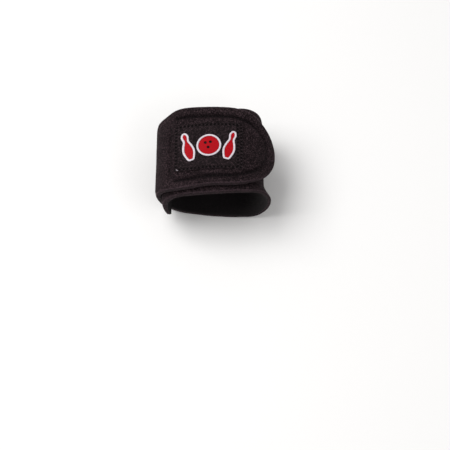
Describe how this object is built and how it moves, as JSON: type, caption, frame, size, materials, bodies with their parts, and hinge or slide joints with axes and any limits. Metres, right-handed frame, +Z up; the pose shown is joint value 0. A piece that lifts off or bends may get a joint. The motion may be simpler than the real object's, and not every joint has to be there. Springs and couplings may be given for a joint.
{
  "type": "wrist support wrap",
  "caption": "Neoprene wrist support wrap for bowling, wound round an open wrist hollow, with a rounded hook-and-loop flap and a sewn patch.",
  "frame": {"origin": "on the surface that the wrap lies on, below the middle of its box", "axes": "+Z up from the palm side, which lies down, to the back of the wrist with the flap; +Y along the hollow towards the forearm; +X towards the thumb of a right hand, which the flap's tip points to"},
  "size_m": [0.079, 0.0642, 0.0567],
  "materials": {
    "neoprene_cloth": "brushed black loop cloth laminated on 4 mm neoprene foam",
    "foam_edge": "raw cut edge of the foam, matt",
    "hook_tape": "black moulded hooks",
    "patch_cloth": "black woven patch cloth",
    "black_thread": "black sewing thread",
    "red_thread": "red embroidery thread, slight sheen",
    "white_thread": "white embroidery thread, slight sheen"
  },
  "bodies": {
    "root": {"wrap_band": "neoprene_cloth", "hook_panel": "hook_tape", "label_patch": "patch_cloth", "ball_border": "white_thread", "ball_fill": "red_thread", "pin_left_border": "white_thread", "pin_left_fill": "red_thread", "pin_right_border": "white_thread", "pin_right_fill": "red_thread"}
  },
  "joints": []
}
